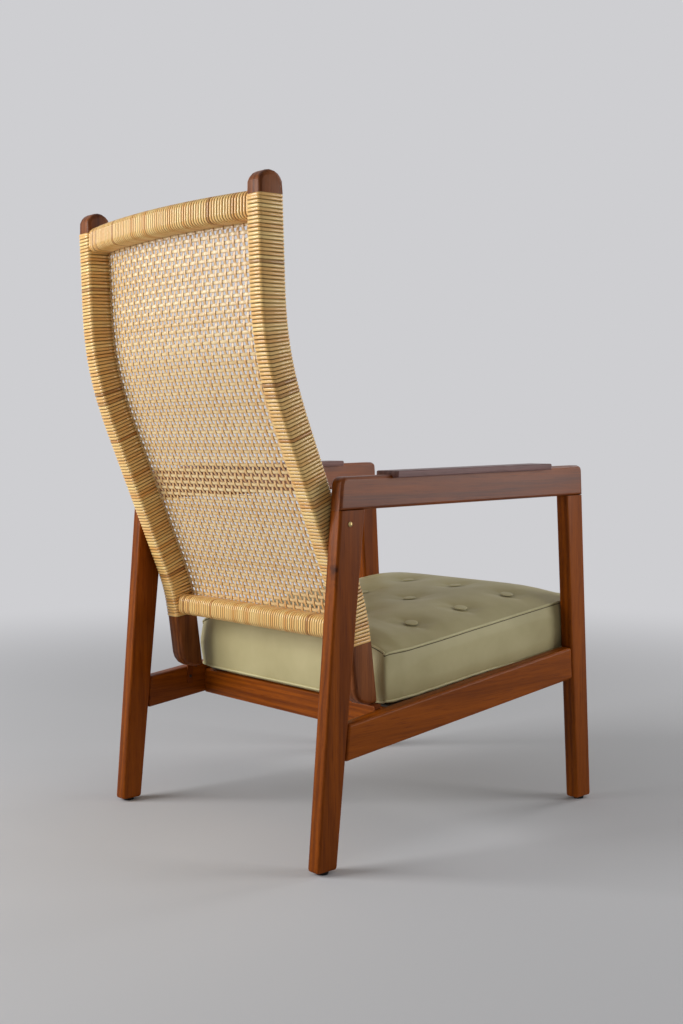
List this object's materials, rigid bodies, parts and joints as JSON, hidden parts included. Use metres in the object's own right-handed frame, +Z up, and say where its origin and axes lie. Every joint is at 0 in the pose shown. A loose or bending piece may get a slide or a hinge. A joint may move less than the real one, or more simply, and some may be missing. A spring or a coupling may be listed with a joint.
{
  "type": "lounge chair",
  "caption": "High-backed lounge chair with wood side frames and arms, an S-curved cane-bound back with a woven panel, and a loose buttoned seat cushion that slides off forward.",
  "frame": {"origin": "bottom centre of the chair's box, on the floor", "axes": "+Z up, -Y the way the sitter faces, +X to the sitter's left"},
  "size_m": [0.619, 0.8026, 1.094],
  "materials": {
    "frame_wood": "satin oiled",
    "stile_wood": "satin oiled",
    "plate_wood": "satin",
    "spline_wood": "raw",
    "cane": "natural gloss",
    "leather": "smooth",
    "cushion_body": "smooth leather cover over foam",
    "strap_rubber": "matte",
    "glide_plastic": "matte",
    "steel": "blackened",
    "brass": "aged"
  },
  "bodies": {
    "chair": {"arm_left": "frame_wood", "arm_plate_left": "plate_wood", "arm_plate_right": "plate_wood", "arm_right": "frame_wood", "back_bolt_left": "brass", "back_bolt_right": "brass", "back_bottom_rail": "stile_wood", "back_stile_left": "stile_wood", "back_stile_right": "stile_wood", "back_top_rail": "stile_wood", "bolt_insert_left": "brass", "bolt_insert_right": "brass", "bottom_rail_binding": "cane", "cane_panel": "cane", "cross_rail_front": "frame_wood", "cross_rail_rear": "frame_wood", "foot_bracket_left": "steel", "foot_bracket_right": "steel", "foot_screw_left": "steel", "foot_screw_right": "steel", "leg_front_left": "frame_wood", "leg_front_right": "frame_wood", "leg_glide_front_left": "glide_plastic", "leg_glide_front_right": "glide_plastic", "leg_glide_rear_left": "glide_plastic", "leg_glide_rear_right": "glide_plastic", "leg_rear_left": "frame_wood", "leg_rear_right": "frame_wood", "rail_screw_left": "steel", "rail_screw_right": "steel", "seat_strap_1": "strap_rubber", "seat_strap_2": "strap_rubber", "seat_strap_3": "strap_rubber", "seat_strap_4": "strap_rubber", "seat_strap_5": "strap_rubber", "side_rail_left": "frame_wood", "side_rail_right": "frame_wood", "stile_binding_left": "cane", "stile_binding_right": "cane", "stile_spacer_left": "strap_rubber", "stile_spacer_right": "strap_rubber", "strap_spline_front": "spline_wood", "strap_spline_rear": "spline_wood", "top_rail_binding": "cane"},
    "cushion": {"cushion_button_01": "leather", "cushion_button_02": "leather", "cushion_button_03": "leather", "cushion_button_04": "leather", "cushion_button_05": "leather", "cushion_button_06": "leather", "cushion_button_07": "leather", "cushion_button_08": "leather", "cushion_button_09": "leather", "cushion_button_10": "leather", "cushion_button_11": "leather", "cushion_button_12": "leather", "cushion_piping_bottom": "leather", "cushion_piping_top": "leather", "seat_cushion": "cushion_body"}
  },
  "joints": [
    {"name": "cushion_slide", "type": "slide", "parent": "chair", "child": "cushion", "axis": [0, -0.9938, 0.1115], "range_m": [0, 0.51]}
  ]
}
